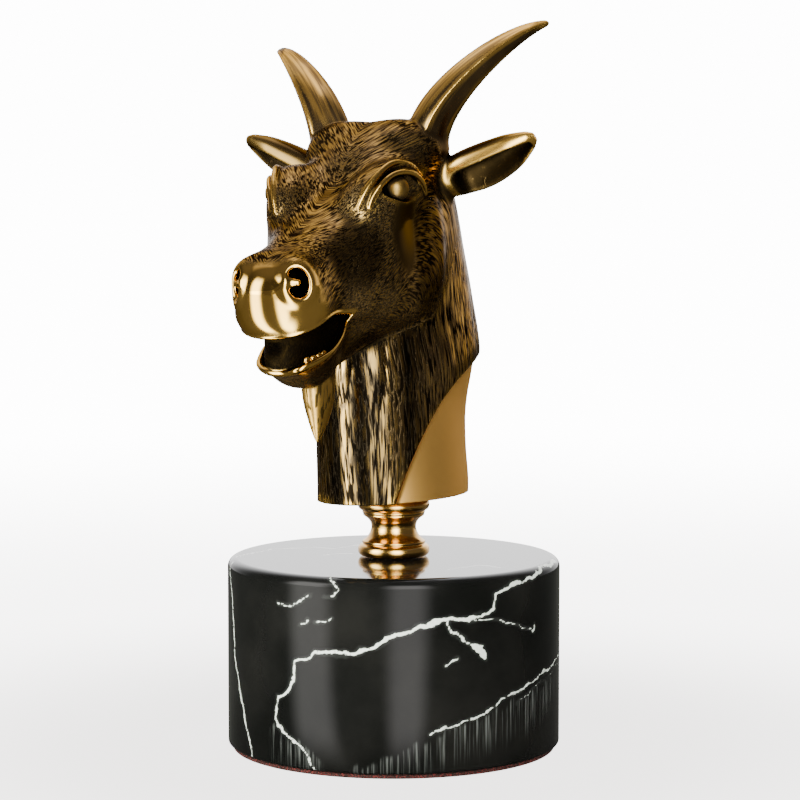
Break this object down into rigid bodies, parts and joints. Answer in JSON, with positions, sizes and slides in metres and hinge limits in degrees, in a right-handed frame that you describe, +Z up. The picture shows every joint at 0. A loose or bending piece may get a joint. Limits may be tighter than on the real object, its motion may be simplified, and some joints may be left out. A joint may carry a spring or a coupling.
{
  "type": "zodiac goat head figure",
  "caption": "Horned goat's head of cast brass with parted lips, beard and ribbed neck hair, on a turned collar and a round black marble drum with a felt foot.",
  "frame": {"origin": "middle of the felt pad's underside", "axes": "+Z up through the base; the goat faces -Y, and +X is the goat's left"},
  "size_m": [0.0864, 0.1158, 0.1858],
  "materials": {
    "cast_brass": "antique brass, dark in the recesses and polished on the ridges",
    "turned_brass": "polished",
    "black_marble": "polished black marble with pale veins",
    "dark_felt": "thin dark felt"
  },
  "bodies": {
    "root": {"felt_pad": "dark_felt", "marble_base": "black_marble", "collar": "turned_brass", "goat_head": "cast_brass"}
  },
  "joints": []
}
